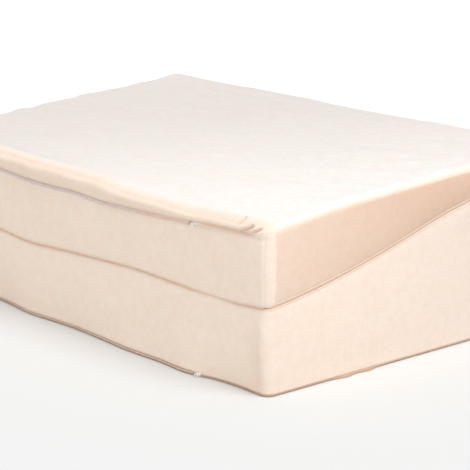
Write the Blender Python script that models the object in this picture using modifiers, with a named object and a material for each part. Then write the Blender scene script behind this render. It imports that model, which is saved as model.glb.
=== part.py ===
"""A folding bed wedge, folded shut: two zipped halves of foam, the thin one turned over onto the thick one.

Metres, +Z up. X runs across the bed, Y from the front, where the halves are joined, to the back.
The block stands on z = 0, and its parent empty puts the middle of the whole part over the origin.
"""

import math
from collections import namedtuple

import bmesh
import bpy
import numpy as np
from mathutils import Vector

PART_NAME = "folding_bed_wedge"

# Driving sizes of the block
WIDTH = 0.610
LENGTH = 0.3937
SEAM_FRONT = 0.0859
SEAM_BACK = 0.1780
TOP_FRONT = 0.1688
TOP_BACK = 0.1995

# Rounding of the filled edges
CORNER_RADIUS = 0.010
TOP_RADIUS = 0.008
CREASE_RADIUS = 0.0055
FOOT_RADIUS = 0.004

# Fullness of the filling
TOP_DOME = 0.0020
FACE_BULGE = 0.0025
BULGE_REACH = 0.030
CREASE_WAVE_REACH = 0.050

# The cloth hinge between the halves
HALVES_GAP = 0.0018
HINGE_THICKNESS = 0.0011
HINGE_SET_BACK = 0.0030
HINGE_DEPTH = 0.0250
HINGE_SHORT_OF_END = 0.0050

# The zips, which stop short of both ends
ZIP_END = 0.1920
ZIP_FADE = 0.0240
GROOVE_DEPTH = 0.0035
CHAIN_TALL = 0.0036
CHAIN_THICK = 0.0015
CHAIN_CLEAR = 0.0005
LOWER_CHAIN_TALL = 0.0026
LOWER_ZIP_HEIGHT = 0.0062
SLIDER_GAP = 0.0004
SLIDER_LONG = 0.0070
SLIDER_TALL = 0.0044
SLIDER_THICK = 0.0050
LOWER_SLIDER_TALL = 0.0040
PULL_LONG = 0.0090
PULL_WIDE = 0.0032
PULL_THICK = 0.0012
PULL_EDGE = 0.0004
UPPER_PULL_TILT = math.radians(52)
LOWER_PULL_TILT = math.radians(20)

# The tucks of loose cloth beside the corner: where each crosses the top's front edge, how far it leans
# across for each unit up, and the stretch that it covers, below the edge and over it
Tuck = namedtuple("Tuck", "x lean below over deep half_wide")
TUCKS = (
    Tuck(0.2640, 1.2, 0.0060, 0.0110, 0.0020, 0.0036),
    Tuck(0.2810, 1.1, 0.0100, 0.0060, 0.0024, 0.0036),
    Tuck(0.2965, 1.2, 0.0120, 0.0010, 0.0020, 0.0030),
)

# The ripples of loose cloth at the foot of the right side: place from the front, reach out, half length
Ripple = namedtuple("Ripple", "y out half_length")
RIPPLES = (
    Ripple(0.0980, 0.0080, 0.0170),
    Ripple(0.1500, 0.0060, 0.0130),
)
RIPPLE_HEIGHT = 0.0090

# The front, a row for each place across the width
Front = namedtuple("Front", "x crease_rise zip_height roll_out roll_up foot_out")
FRONT = (
    Front(-0.305, 0.0010, 0.1535, 0.0010, 0.0000, 0.0010),
    Front(-0.225, 0.0005, 0.1545, 0.0060, 0.0070, -0.0020),
    Front(-0.140, -0.0003, 0.1559, 0.0070, 0.0085, -0.0040),
    Front(-0.085, -0.0044, 0.1551, 0.0068, 0.0072, 0.0010),
    Front(-0.005, -0.0008, 0.1517, 0.0060, 0.0045, 0.0000),
    Front(0.045, 0.0010, 0.1492, 0.0055, 0.0030, 0.0030),
    Front(0.095, 0.0026, 0.1503, 0.0050, 0.0006, 0.0060),
    Front(0.150, 0.0015, 0.1520, 0.0045, -0.0014, 0.0035),
    Front(0.197, 0.0000, 0.1546, 0.0040, -0.0028, 0.0040),
    Front(0.230, -0.0001, 0.1558, 0.0028, -0.0010, -0.0010),
    Front(0.262, 0.0000, 0.1566, 0.0018, 0.0000, -0.0048),
    Front(0.290, 0.0020, 0.1570, 0.0010, 0.0000, -0.0020),
    Front(0.305, 0.0030, 0.1570, 0.0000, 0.0000, 0.0000),
)

# The length, a row for each place behind the front
Side = namedtuple("Side", "y seam_rise top_rise")
SIDE = (
    Side(0.000, 0.0000, 0.0000),
    Side(0.050, -0.0028, 0.0018),
    Side(0.136, -0.0038, 0.0027),
    Side(0.185, -0.0020, 0.0022),
    Side(0.246, 0.0012, 0.0010),
    Side(0.290, 0.0008, 0.0002),
    Side(LENGTH, 0.0000, 0.0000),
)

# The crest of the loose roll over the upper zip, behind the front edge
Crest = namedtuple("Crest", "y share")
CREST = (
    Crest(0.000, 0.70),
    Crest(0.009, 1.00),
    Crest(0.018, 0.75),
    Crest(0.028, 0.20),
    Crest(0.040, 0.00),
    Crest(LENGTH, 0.00),
)

# The thin half's front face from crease to top: share of its height, plain bulge, groove and roll
UPPER_ZIP_SHARE = 0.805
Rise = namedtuple("Rise", "share bulge groove roll")
UPPER_FACE = (
    Rise(0.000, 0.0, 0.0, 0.00),
    Rise(0.100, 0.5, 0.0, 0.00),
    Rise(0.400, 1.0, 0.0, 0.00),
    Rise(0.680, 0.7, 0.0, 0.00),
    Rise(0.750, 0.3, 0.1, 0.00),
    Rise(0.769, 0.0, 1.0, 0.00),
    Rise(0.841, 0.0, 1.0, 0.00),
    Rise(0.860, 0.0, 0.0, 0.60),
    Rise(0.885, 0.0, 0.0, 0.95),
    Rise(0.915, 0.0, 0.0, 1.00),
    Rise(0.945, 0.0, 0.0, 0.90),
    Rise(0.975, 0.0, 0.0, 0.60),
    Rise(1.000, 0.0, 0.0, 0.20),
)

# The thick half's front face from the floor to the crease, with the lower zip near its foot
LOWER_FACE = (
    Rise(0.000, 0.0, 0.0, 0.40),
    Rise(0.020, 0.0, 0.0, 1.00),
    Rise(0.040, 0.0, 0.2, 0.80),
    Rise(0.050, 0.0, 1.0, 0.00),
    Rise(0.095, 0.0, 1.0, 0.00),
    Rise(0.115, 0.2, 0.0, 0.00),
    Rise(0.250, 0.7, 0.0, 0.00),
    Rise(0.500, 1.0, 0.0, 0.00),
    Rise(0.750, 0.8, 0.0, 0.00),
    Rise(0.930, 0.3, 0.0, 0.00),
    Rise(0.975, 0.1, 0.0, 0.00),
    Rise(1.000, 0.0, 0.0, 0.00),
)
LOWER_ROLL_OUT = 0.0030

# Lines across and along both halves, closer at the edges and at the tucks
END_STEPS = (0.000, 0.003, 0.006, 0.009, 0.019)
PLAIN_STEP = 0.024
TUCK_FROM = 0.2500
TUCK_STEP = 0.0032
FRONT_STEPS = (0.000, 0.003, 0.006, 0.009, 0.013, 0.018, 0.028, 0.040)
BACK_STEPS = (0.019, 0.009, 0.003, 0.000)
LENGTH_STEP = 0.050

# Paint and plastic
COVER_COLOUR = (0.86, 0.72, 0.59, 1.0)
TAPE_COLOUR = (0.56, 0.40, 0.30, 1.0)
SLIDER_COLOUR = (0.88, 0.88, 0.87, 1.0)


def clear_scene():
    for obj in list(bpy.data.objects):
        bpy.data.objects.remove(obj, do_unlink=True)


def material(name, colour, roughness):
    made = bpy.data.materials.new(name)
    made.use_nodes = True
    shader = made.node_tree.nodes["Principled BSDF"]
    shader.inputs["Base Color"].default_value = colour
    shader.inputs["Roughness"].default_value = roughness
    shader.inputs["Metallic"].default_value = 0.0
    return made


def column(table, place, name, at):
    """A column of a table at these places, on a smooth curve through its rows."""
    rows = np.array([getattr(row, place) for row in table])
    values = np.array([getattr(row, name) for row in table])
    slopes = np.gradient(values, rows)
    at = np.clip(np.asarray(at, float), rows[0], rows[-1])
    index = np.clip(np.searchsorted(rows, at, side="right") - 1, 0, len(rows) - 2)
    span = rows[index + 1] - rows[index]
    t = (at - rows[index]) / span
    ends = values[index] + (values[index + 1] - values[index]) * t * t * (3 - 2 * t)
    leaving = slopes[index] * t * (1 - t) ** 2
    arriving = slopes[index + 1] * t * t * (1 - t)
    return ends + span * (leaving - arriving)


def straight(table, place, name, at):
    """A column of a table at these places, straight from row to row."""
    rows = [getattr(row, place) for row in table]
    return np.interp(at, rows, [getattr(row, name) for row in table])


def seam_height(x, y):
    """The slope where the halves meet, y from the front: it sags a little, and waves at the front."""
    slope = SEAM_FRONT + (SEAM_BACK - SEAM_FRONT) * y / LENGTH
    wave = column(FRONT, "x", "crease_rise", x) * np.exp(-y / CREASE_WAVE_REACH)
    return slope + column(SIDE, "y", "seam_rise", y) + wave


def top_height(x, y):
    """The top panel: a slope with a low dome, and the roll's crest along the front."""
    slope = TOP_FRONT + (TOP_BACK - TOP_FRONT) * y / LENGTH
    dome = TOP_DOME * np.sin(np.pi * (x / WIDTH + 0.5)) * np.sin(np.pi * y / LENGTH)
    crest = column(FRONT, "x", "roll_up", x) * straight(CREST, "y", "share", y)
    return slope + column(SIDE, "y", "top_rise", y) + dome + crest


def zip_length_share(x):
    """1 along a zip, fading to 0 just past its ends."""
    return np.clip((ZIP_END + ZIP_FADE - np.abs(x)) / (ZIP_FADE * 0.5), 0, 1)


def rounded(first, second, radius):
    """Distances in from two faces, moved so that the edge between them is a quarter circle."""
    a = np.maximum(radius - first, 0)
    b = np.maximum(radius - second, 0)
    diagonal = np.hypot(a, b)
    share = np.divide(np.maximum(a, b), diagonal, out=np.ones_like(diagonal), where=diagonal > 0)
    return first + a * (1 - share), second + b * (1 - share)


def blank(x_lines, y_lines, z_lines):
    """A box cut along the given lines, ready to be shaped."""
    lines = [np.asarray(x_lines), np.asarray(y_lines), np.asarray(z_lines)]
    low = np.array([line[0] for line in lines])
    size = np.array([line[-1] for line in lines]) - low
    bm = bmesh.new()
    bmesh.ops.create_cube(bm, size=1.0)
    for vert in bm.verts:
        vert.co = Vector(low + (np.array(vert.co) + 0.5) * size)
    for axis, line in enumerate(lines):
        normal = Vector([float(axis == i) for i in range(3)])
        for place in line[1:-1]:
            geometry = bm.verts[:] + bm.edges[:] + bm.faces[:]
            bmesh.ops.bisect_plane(bm, geom=geometry, plane_co=normal * place, plane_no=normal)
    return bm


def finished(bm, name, shape, collection, paint, frame):
    """The box, moved to its shape, as an object of the part."""
    places = shape(np.array([vert.co for vert in bm.verts]))
    for vert, place in zip(bm.verts, places):
        vert.co = Vector(place)
    bm.normal_update()
    bmesh.ops.recalc_face_normals(bm, faces=bm.faces[:])
    mesh = bpy.data.meshes.new(name)
    bm.to_mesh(mesh)
    bm.free()
    mesh.materials.append(paint)
    mesh.shade_smooth()
    obj = bpy.data.objects.new(name, mesh)
    collection.objects.link(obj)
    obj.parent = frame
    return obj


def shaped_half(points, low_of, high_of, low_radius, high_radius, zip_share_of):
    """A filled half from a box: rounded plan corners, its own floor and roof, rounded edges.

    The third coordinate is the share of the height. zip_share_of bends it so that a line of
    the box follows the zip. Returns x, y from the front, z and how close each point is to a side.
    """
    x, y, share = points.T
    share = zip_share_of(x, y, share)
    from_side = WIDTH / 2 - np.abs(x)
    from_end = np.minimum(y, LENGTH - y)
    inward_x = np.maximum(CORNER_RADIUS - from_side, 0)
    inward_y = np.maximum(CORNER_RADIUS - from_end, 0)
    reach = np.maximum(np.hypot(inward_x, inward_y), 1e-9)
    inward_x = inward_x / reach * -np.sign(x)
    inward_y = inward_y / reach * np.where(y < LENGTH / 2, 1, -1)
    skin = np.minimum(from_side, from_end)

    round_side, round_end = rounded(from_side, from_end, CORNER_RADIUS)
    x = np.sign(x) * (WIDTH / 2 - round_side)
    y = np.where(y < LENGTH / 2, round_end, LENGTH - round_end)

    low = low_of(x, y)
    high = high_of(x, y)
    z = low + (high - low) * share
    for face, sign, radius in ((low, 1, low_radius), (high, -1, high_radius)):
        depth = (z - face) * sign
        round_skin, round_depth = rounded(skin, depth, radius)
        x = x + inward_x * (round_skin - skin)
        y = y + inward_y * (round_skin - skin)
        z = z + sign * (round_depth - depth)
    return x, y, z, skin, inward_x, inward_y


def tuck_depth(x, over):
    """How deep the tucks are at a place this far over the top's front edge, or below it if negative."""
    deep = 0 * x
    for tuck in TUCKS:
        across = (x - tuck.x - tuck.lean * over) / tuck.half_wide
        middle = (tuck.over - tuck.below) / 2
        half = (tuck.over + tuck.below) / 2
        along = np.clip(1 - ((over - middle) / half) ** 2, 0, 1)
        deep = deep + tuck.deep * np.exp(-(across**2)) * along
    return deep


def upper_face_out(x, share):
    """How far the thin half's front face stands out at this share of its height."""
    zipped = zip_length_share(x)
    groove = -GROOVE_DEPTH * zipped * straight(UPPER_FACE, "share", "groove", share)
    bulge = FACE_BULGE * straight(UPPER_FACE, "share", "bulge", share)
    roll = column(FRONT, "x", "roll_out", x) * straight(UPPER_FACE, "share", "roll", share)
    return bulge + groove + roll


def lower_face_out(x, share):
    """How far the thick half's front face stands out, with the squashed roll under its zip."""
    zipped = zip_length_share(x)
    groove = -GROOVE_DEPTH * zipped * straight(LOWER_FACE, "share", "groove", share)
    bulge = FACE_BULGE * straight(LOWER_FACE, "share", "bulge", share)
    roll = LOWER_ROLL_OUT * zipped * straight(LOWER_FACE, "share", "roll", share)
    return bulge + groove + roll + column(FRONT, "x", "foot_out", x) * (1 - share) ** 2


def upper_zip_share(x, y, share):
    """Bends the height's lines so that the one at UPPER_ZIP_SHARE follows the zip on the front face."""
    seam = seam_height(x, 0 * y)
    wanted = (column(FRONT, "x", "zip_height", x) - seam) / (top_height(x, 0 * y) - seam)
    wanted = UPPER_ZIP_SHARE + (wanted - UPPER_ZIP_SHARE) * np.exp(-y / BULGE_REACH)
    below = share / UPPER_ZIP_SHARE * wanted
    above = wanted + (share - UPPER_ZIP_SHARE) / (1 - UPPER_ZIP_SHARE) * (1 - wanted)
    return np.where(share < UPPER_ZIP_SHARE, below, above)


def pushed_out(x, y, share, skin, inward_x, inward_y, front_out):
    """Moves the front by front_out and the other faces by a plain bulge, fading inwards from the skin."""
    near = np.exp(-skin / BULGE_REACH)
    plain = FACE_BULGE * np.sin(np.pi * np.clip(share, 0, 1)) * near
    facing_front = np.where(y < LENGTH / 2, np.abs(inward_y), 0)
    front_near = np.exp(-y / BULGE_REACH) * np.clip(facing_front + (skin >= CORNER_RADIUS), 0, 1)
    x = x - inward_x * plain * (1 - facing_front)
    y = y - inward_y * plain * (1 - facing_front)
    return x, y - front_out * front_near


def ripples_out(y, z):
    """Loose cloth that lies out on the floor at the foot of the right side."""
    low = np.clip(1 - z / RIPPLE_HEIGHT, 0, 1)
    out = 0 * y
    for ripple in RIPPLES:
        out = out + ripple.out * np.exp(-(((y - ripple.y) / ripple.half_length) ** 2))
    return out * low


def thick_half(points):
    """The lower half: flat on the floor, with the slope for its roof."""
    share = points[:, 2]
    x, y, z, skin, inward_x, inward_y = shaped_half(
        points,
        lambda x, y: 0 * x,
        lambda x, y: seam_height(x, y) - HALVES_GAP / 2,
        FOOT_RADIUS,
        CREASE_RADIUS,
        lambda x, y, share: share,
    )
    front_out = lower_face_out(x, share)
    x, y = pushed_out(x, y, share, skin, inward_x, inward_y, front_out)
    on_right = (inward_x < 0) & (skin < CORNER_RADIUS)
    x = x + on_right * ripples_out(y, z)
    return np.column_stack([x, y - LENGTH / 2, z])


def thin_half(points):
    """The upper half: the slope for its floor, and the top panel with the roll and the tucks."""
    x, y, z, skin, inward_x, inward_y = shaped_half(
        points,
        lambda x, y: seam_height(x, y) + HALVES_GAP / 2,
        top_height,
        CREASE_RADIUS,
        TOP_RADIUS,
        upper_zip_share,
    )
    share = points[:, 2]
    over = points[:, 1] - (1 - share) * (TOP_FRONT - SEAM_FRONT)
    tucked = tuck_depth(points[:, 0], over)
    front_out = upper_face_out(x, share) - tucked
    x, y = pushed_out(x, y, share, skin, inward_x, inward_y, front_out)
    z = z - tucked * np.clip((share - UPPER_ZIP_SHARE) / (1 - UPPER_ZIP_SHARE), 0, 1)
    return np.column_stack([x, y - LENGTH / 2, z])


def hinge_strip(points):
    """A strip of cover cloth between the slopes, along the front crease."""
    x, y, side = points.T
    z = seam_height(x, y) + (side - 0.5) * HINGE_THICKNESS
    return np.column_stack([x, y - LENGTH / 2, z])


def upper_chain(points):
    """The closed chain in the upper groove."""
    x, depth, tall = points.T
    y = GROOVE_DEPTH - CHAIN_CLEAR - depth * CHAIN_THICK
    z = column(FRONT, "x", "zip_height", x) + (tall - 0.5) * CHAIN_TALL
    return np.column_stack([x, y - LENGTH / 2, z])


def lower_chain(points):
    """The closed chain in the lower groove, which follows the foot of the thick half."""
    x, depth, tall = points.T
    share = LOWER_ZIP_HEIGHT / SEAM_FRONT
    y = -lower_face_out(x, share + 0 * x) - CHAIN_CLEAR - depth * CHAIN_THICK
    z = LOWER_ZIP_HEIGHT + (tall - 0.5) * LOWER_CHAIN_TALL
    return np.column_stack([x, y - LENGTH / 2, z])


def rounded_box(name, size, place, turn, collection, paint, frame):
    """A small moulded piece: a box with its edges bevelled."""
    bm = bmesh.new()
    bmesh.ops.create_cube(bm, size=1.0)
    for vert in bm.verts:
        vert.co = Vector(np.array(vert.co) * np.array(size))
    mesh = bpy.data.meshes.new(name)
    bm.to_mesh(mesh)
    bm.free()
    mesh.materials.append(paint)
    obj = bpy.data.objects.new(name, mesh)
    collection.objects.link(obj)
    obj.parent = frame
    obj.location = place
    obj.rotation_euler = turn
    bevel = obj.modifiers.new("edges", "BEVEL")
    bevel.width = PULL_EDGE
    bevel.segments = 2
    return obj


def slider_and_pull(prefix, height, tall, groove_floor, tilt, collection, paint, frame):
    """A zip's slider at the end of its chain, and the short pull that hangs in front of it."""
    x = ZIP_END + SLIDER_GAP + SLIDER_LONG / 2
    back = groove_floor - CHAIN_CLEAR - LENGTH / 2
    y = back - SLIDER_THICK / 2
    size = (SLIDER_LONG, SLIDER_THICK, tall)
    rounded_box(prefix + "_slider", size, (x, y, height), (0, 0, 0), collection, paint, frame)
    reach = (PULL_LONG - PULL_WIDE) / 2
    pull_at = (
        x + reach * math.cos(tilt),
        back - SLIDER_THICK - SLIDER_GAP - PULL_THICK / 2,
        height - reach * math.sin(tilt),
    )
    size = (PULL_LONG, PULL_THICK, PULL_WIDE)
    rounded_box(prefix + "_pull", size, pull_at, (0, tilt, 0), collection, paint, frame)


def width_lines():
    """Lines across the width: close at both ends and through the tucks, and at the zips' ends."""
    inner = WIDTH / 2 - END_STEPS[-1]
    outer = WIDTH / 2 - END_STEPS[-2]
    plain = np.linspace(-inner, TUCK_FROM, round((TUCK_FROM + inner) / PLAIN_STEP))
    tucked = np.linspace(TUCK_FROM, outer, round((outer - TUCK_FROM) / TUCK_STEP))
    left = np.array(END_STEPS[:-1]) - WIDTH / 2
    right = WIDTH / 2 - np.array(END_STEPS[-3::-1])
    lines = np.concatenate([left, plain, tucked[1:], right])
    groove_ends = ZIP_END + ZIP_FADE * np.array([0.0, 0.5, 1.0])
    wanted = np.concatenate([-groove_ends, groove_ends])
    clear = np.abs(lines[:, None] - wanted).min(axis=1) > END_STEPS[1]
    return np.sort(np.concatenate([lines[clear], wanted]))


def length_lines():
    """Lines from the front to the back: close at both ends."""
    middle = np.linspace(FRONT_STEPS[-1], LENGTH - BACK_STEPS[0], round(LENGTH / LENGTH_STEP))
    back = LENGTH - np.array(BACK_STEPS[1:])
    return np.concatenate([FRONT_STEPS[:-1], middle, back])


def centred(frame, objects):
    """Moves the part so that the middle of its box stands over the origin."""
    bpy.context.view_layer.update()
    graph = bpy.context.evaluated_depsgraph_get()
    corners = []
    for obj in objects:
        evaluated = obj.evaluated_get(graph)
        corners += [evaluated.matrix_world @ Vector(corner) for corner in evaluated.bound_box]
    corners = np.array(corners)
    middle = (corners.min(axis=0) + corners.max(axis=0)) / 2
    frame.location = (-middle[0], -middle[1], 0)


def main():
    clear_scene()
    collection = bpy.data.collections.new(PART_NAME)
    bpy.context.scene.collection.children.link(collection)
    frame = bpy.data.objects.new("block_frame", None)
    collection.objects.link(frame)
    cover = material("velour_cover", COVER_COLOUR, 0.9)
    tape = material("zip_chain", TAPE_COLOUR, 0.6)
    plastic = material("white_slider", SLIDER_COLOUR, 0.4)

    across = width_lines()
    along = length_lines()
    upper_lines = [row.share for row in UPPER_FACE]
    lower_lines = [row.share for row in LOWER_FACE]
    finished(blank(across, along, lower_lines), "thick_half", thick_half, collection, cover, frame)
    finished(blank(across, along, upper_lines), "thin_half", thin_half, collection, cover, frame)

    inner = across[np.abs(across) < WIDTH / 2 - HINGE_SHORT_OF_END]
    deep = along[(along > HINGE_SET_BACK) & (along < HINGE_SET_BACK + HINGE_DEPTH)]
    deep = np.concatenate([[HINGE_SET_BACK], deep, [HINGE_SET_BACK + HINGE_DEPTH]])
    finished(blank(inner, deep, (0, 1)), "hinge_strip", hinge_strip, collection, cover, frame)

    zipped = across[np.abs(across) < ZIP_END]
    zipped = np.concatenate([[-ZIP_END], zipped, [ZIP_END]])
    for name, shape in (("upper_zip", upper_chain), ("lower_zip", lower_chain)):
        finished(blank(zipped, (0, 1), (0, 1)), name, shape, collection, tape, frame)

    slider_x = ZIP_END + SLIDER_GAP + SLIDER_LONG / 2
    upper_height = float(column(FRONT, "x", "zip_height", slider_x))
    lower_floor = -float(lower_face_out(slider_x, LOWER_ZIP_HEIGHT / SEAM_FRONT))
    sliders = (
        ("upper", upper_height, SLIDER_TALL, GROOVE_DEPTH, UPPER_PULL_TILT),
        ("lower", LOWER_ZIP_HEIGHT, LOWER_SLIDER_TALL, lower_floor, LOWER_PULL_TILT),
    )
    for prefix, height, tall, groove_floor, tilt in sliders:
        slider_and_pull(prefix, height, tall, groove_floor, tilt, collection, plastic, frame)

    centred(frame, [obj for obj in collection.objects if obj.type == "MESH"])


main()
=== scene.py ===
"""The looks of a folding bed wedge, folded shut: two velour covered halves, their zips and the cloth hinge.

Every new piece is a surface worked out with numpy: arrays of two parameters, put into a mesh at once.
Metres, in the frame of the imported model. Places in the tables are from the block's own middle, and
BLOCK_AT carries them to the frame, where the roll and the sliders in front push the origin forward.
"""

import math

import bpy
import numpy as np
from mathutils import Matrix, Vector


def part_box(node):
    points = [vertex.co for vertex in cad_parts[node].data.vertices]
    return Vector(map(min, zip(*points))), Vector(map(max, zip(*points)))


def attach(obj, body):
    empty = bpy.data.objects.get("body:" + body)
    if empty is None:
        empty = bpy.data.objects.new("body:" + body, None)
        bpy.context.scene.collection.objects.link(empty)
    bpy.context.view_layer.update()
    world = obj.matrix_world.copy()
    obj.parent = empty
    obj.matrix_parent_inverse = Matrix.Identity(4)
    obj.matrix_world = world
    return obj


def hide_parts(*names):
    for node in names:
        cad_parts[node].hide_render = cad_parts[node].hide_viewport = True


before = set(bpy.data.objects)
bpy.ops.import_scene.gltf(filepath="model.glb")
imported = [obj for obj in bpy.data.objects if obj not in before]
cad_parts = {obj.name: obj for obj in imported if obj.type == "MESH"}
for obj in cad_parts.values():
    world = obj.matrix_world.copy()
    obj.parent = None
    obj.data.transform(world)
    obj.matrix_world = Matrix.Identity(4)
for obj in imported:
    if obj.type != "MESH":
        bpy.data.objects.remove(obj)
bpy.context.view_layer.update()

# Driving sizes of the block
WIDTH = 0.610
LENGTH = 0.3937
SEAM_FRONT = 0.0859
SEAM_BACK = 0.1780
TOP_FRONT = 0.1688
TOP_BACK = 0.1995
HALVES_GAP = 0.0001
HINGE_ROOM = 0.0008
HINGE_SET_BACK = 0.0030
HINGE_BEAD_BACK = 0.0013
HINGE_DEPTH = 0.0250
HINGE_SHORT_OF_END = 0.0050
# The share of deeper peach on the hinge cloth: painted shade of the crease that it lies in.
HINGE_PAINTED_SHADE = 0.55

# Rounding of the filled edges
CORNER_RADIUS = 0.0095
TOP_RADIUS = 0.0075
CREASE_RADIUS = 0.0018
FOOT_RADIUS = 0.0018

# Fullness of the filling
TOP_DOME = 0.0020
FACE_BULGE = 0.0025
BULGE_REACH = 0.030
CREASE_WAVE_REACH = 0.050

# The zips
ZIP_END = 0.1920
ZIP_FADE = 0.0240
ZIP_STOP = 0.0022
GROOVE_DEPTH = 0.0005
LOWER_GROOVE_DEPTH = 0.0008
MOUTH_AT = 0.1890
MOUTH_DEPTH = 0.0022
MOUTH_HALF_WIDTH = 0.0030
ZIP_CLEAR = 0.0003
ZIP_THICK = 0.0008
UPPER_ZIP_TALL = 0.0030
UPPER_ZIP_RISE = 0.0003
LOWER_ZIP_TALL = 0.0016
LOWER_ZIP_HEIGHT = 0.0024
TOOTH_PITCH = 0.0013
PULL_REACH = 0.0024
LOWER_SLIDER_SHIFT = np.array((0.0118, -0.0025, -0.0038))

# Seams: how far the cloth of one side wraps over each edge before it meets the next
SEAM_FROM_CORNER = 0.0090
SEAM_FROM_TOP = 0.0065
SEAM_FROM_CREASE = 0.0030
SEAM_DEPTH = 0.0006
SEAM_HALF_WIDTH = 0.0013
CORNER_SEAM_FROM_SIDE = 0.0040
CORNER_SEAM_DEPTH = 0.0009
CORNER_SEAM_HALF_WIDTH = 0.0012

# The block's middle in the frame
hinge_low, hinge_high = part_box("hinge_strip")
BLOCK_AT = np.array([
    (hinge_low.x + hinge_high.x) / 2,
    hinge_low.y - HINGE_SET_BACK + LENGTH / 2,
    0.0,
])


def table(names, *rows):
    """Rows of a short table as a dictionary from each column's name to its values."""
    return dict(zip(names.split(), np.array(rows, float).T))


# The front, a row for each place across the width
FRONT = table(
    "x crease_rise zip_height roll_out roll_up foot_out",
    (-0.305, 0.0010, 0.1535, 0.0010, 0.0000, 0.0010),
    (-0.225, 0.0005, 0.1545, 0.0060, 0.0070, -0.0020),
    (-0.140, -0.0003, 0.1545, 0.0070, 0.0085, -0.0040),
    (-0.085, -0.0044, 0.1508, 0.0068, 0.0072, 0.0032),
    (-0.035, -0.0022, 0.1506, 0.0064, 0.0056, 0.0010),
    (-0.005, -0.0008, 0.1513, 0.0060, 0.0045, 0.0000),
    (0.045, 0.0010, 0.1492, 0.0055, 0.0030, 0.0030),
    (0.095, 0.0026, 0.1503, 0.0050, 0.0006, 0.0066),
    (0.150, 0.0015, 0.1520, 0.0045, -0.0014, 0.0060),
    (0.197, 0.0000, 0.1546, 0.0040, -0.0028, 0.0080),
    (0.230, -0.0001, 0.1558, 0.0028, -0.0010, 0.0005),
    (0.262, 0.0000, 0.1566, 0.0018, 0.0000, -0.0018),
    (0.290, 0.0020, 0.1570, 0.0010, 0.0000, -0.0005),
    (0.305, 0.0030, 0.1570, 0.0000, 0.0000, 0.0000),
)

# The length, a row for each place behind the front
SIDE = table(
    "y seam_rise top_rise",
    (0.000, 0.0000, 0.0000),
    (0.050, -0.0028, 0.0018),
    (0.136, -0.0038, 0.0027),
    (0.185, -0.0020, 0.0022),
    (0.246, 0.0012, 0.0010),
    (0.290, 0.0008, 0.0002),
    (LENGTH, 0.0000, 0.0000),
)

# The crest of the loose roll over the upper zip, behind the front edge
CREST = table(
    "y share",
    (0.000, 0.92),
    (0.009, 1.00),
    (0.018, 0.75),
    (0.028, 0.20),
    (0.040, 0.00),
    (LENGTH, 0.00),
)

# The thin half's front face from the crease to the top: share of its height, bulge, groove and roll
UPPER_ZIP_SHARE = 0.805
UPPER_FACE = table(
    "share bulge groove roll",
    (0.000, 0.0, 0.00, 0.00),
    (0.100, 0.5, 0.00, 0.00),
    (0.400, 1.0, 0.00, 0.00),
    (0.680, 0.7, 0.00, 0.00),
    (0.745, 0.5, 0.00, 0.00),
    (0.762, 0.4, 0.00, 0.00),
    (0.776, 0.2, 0.00, 0.00),
    (0.784, 0.1, 0.35, 0.00),
    (0.790, 0.0, 1.00, 0.00),
    (0.820, 0.0, 1.00, 0.00),
    (0.828, 0.0, 0.30, 0.06),
    (0.836, 0.0, 0.00, 0.21),
    (0.845, 0.0, 0.00, 0.40),
    (0.860, 0.0, 0.00, 0.65),
    (0.880, 0.0, 0.00, 0.87),
    (0.905, 0.0, 0.00, 0.99),
    (0.930, 0.0, 0.00, 1.00),
    (0.955, 0.0, 0.00, 0.92),
    (0.978, 0.0, 0.00, 0.74),
    (1.000, 0.0, 0.00, 0.50),
)

# The thick half's front face from the floor to the crease, with the lower zip tucked under its foot
LOWER_FACE = table(
    "share bulge groove roll",
    (0.000, 0.0, 0.0, 0.00),
    (0.010, 0.0, 0.3, 0.00),
    (0.015, 0.0, 1.0, 0.00),
    (0.040, 0.0, 1.0, 0.00),
    (0.047, 0.0, 0.5, 0.00),
    (0.056, 0.1, 0.0, 0.20),
    (0.090, 0.2, 0.0, 0.30),
    (0.130, 0.3, 0.0, 0.10),
    (0.250, 0.7, 0.0, 0.00),
    (0.500, 1.0, 0.0, 0.00),
    (0.750, 0.8, 0.0, 0.00),
    (0.930, 0.3, 0.0, 0.00),
    (0.975, 0.1, 0.0, 0.00),
    (1.000, 0.0, 0.0, 0.00),
)
LOWER_ROLL_OUT = 0.0020

# The tucks of loose cloth beside the corner
TUCKS = (
    dict(x=0.2598, below=0.0040, over=0.0170, deep=0.0044, half_wide=0.0029),
    dict(x=0.2782, below=0.0125, over=0.0050, deep=0.0050, half_wide=0.0030),
    dict(x=0.2912, below=0.0120, over=0.0030, deep=0.0042, half_wide=0.0027),
)
TUCK_LEAN = 0.35
TUCK_BEND = 44.0

# The ripples of loose cloth at the foot of the right side
RIPPLES = (
    dict(y=0.1050, out=0.0052, half_length=0.0115),
    dict(y=0.1350, out=0.0046, half_length=0.0110),
)
RIPPLE_HEIGHT = 0.0036

FLOOR_REACH = 9.0

# Spacing of the lines of the fine surfaces
EDGE_STRIP = 0.021
EDGE_STEP = 0.00125
PLAIN_STEP = 0.0044
TUCKED_STRIP = 0.056
THIN_ROWS = 0.0185
THICK_ROWS = 0.0150


def column(rows, place, name, at):
    """A column of a table at these places: a cubic through its rows, sloped as between its neighbours."""
    places = rows[place]
    values = rows[name]
    slopes = np.gradient(values, places)
    at = np.clip(np.asarray(at, float), places[0], places[-1])
    index = np.clip(np.searchsorted(places, at, side="right") - 1, 0, len(places) - 2)
    span = places[index + 1] - places[index]
    t = (at - places[index]) / span
    ends = values[index] + (values[index + 1] - values[index]) * t * t * (3 - 2 * t)
    leaving = slopes[index] * t * (1 - t) ** 2
    arriving = slopes[index + 1] * t * t * (1 - t)
    return ends + span * (leaving - arriving)


def eased(low, high, value):
    """0 below low, 1 above high, and a smooth cubic step between them."""
    t = np.clip((value - low) / (high - low), 0, 1)
    return t * t * (3 - 2 * t)


def bell(distance, half_width):
    return np.exp(-((distance / half_width) ** 2))


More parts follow.
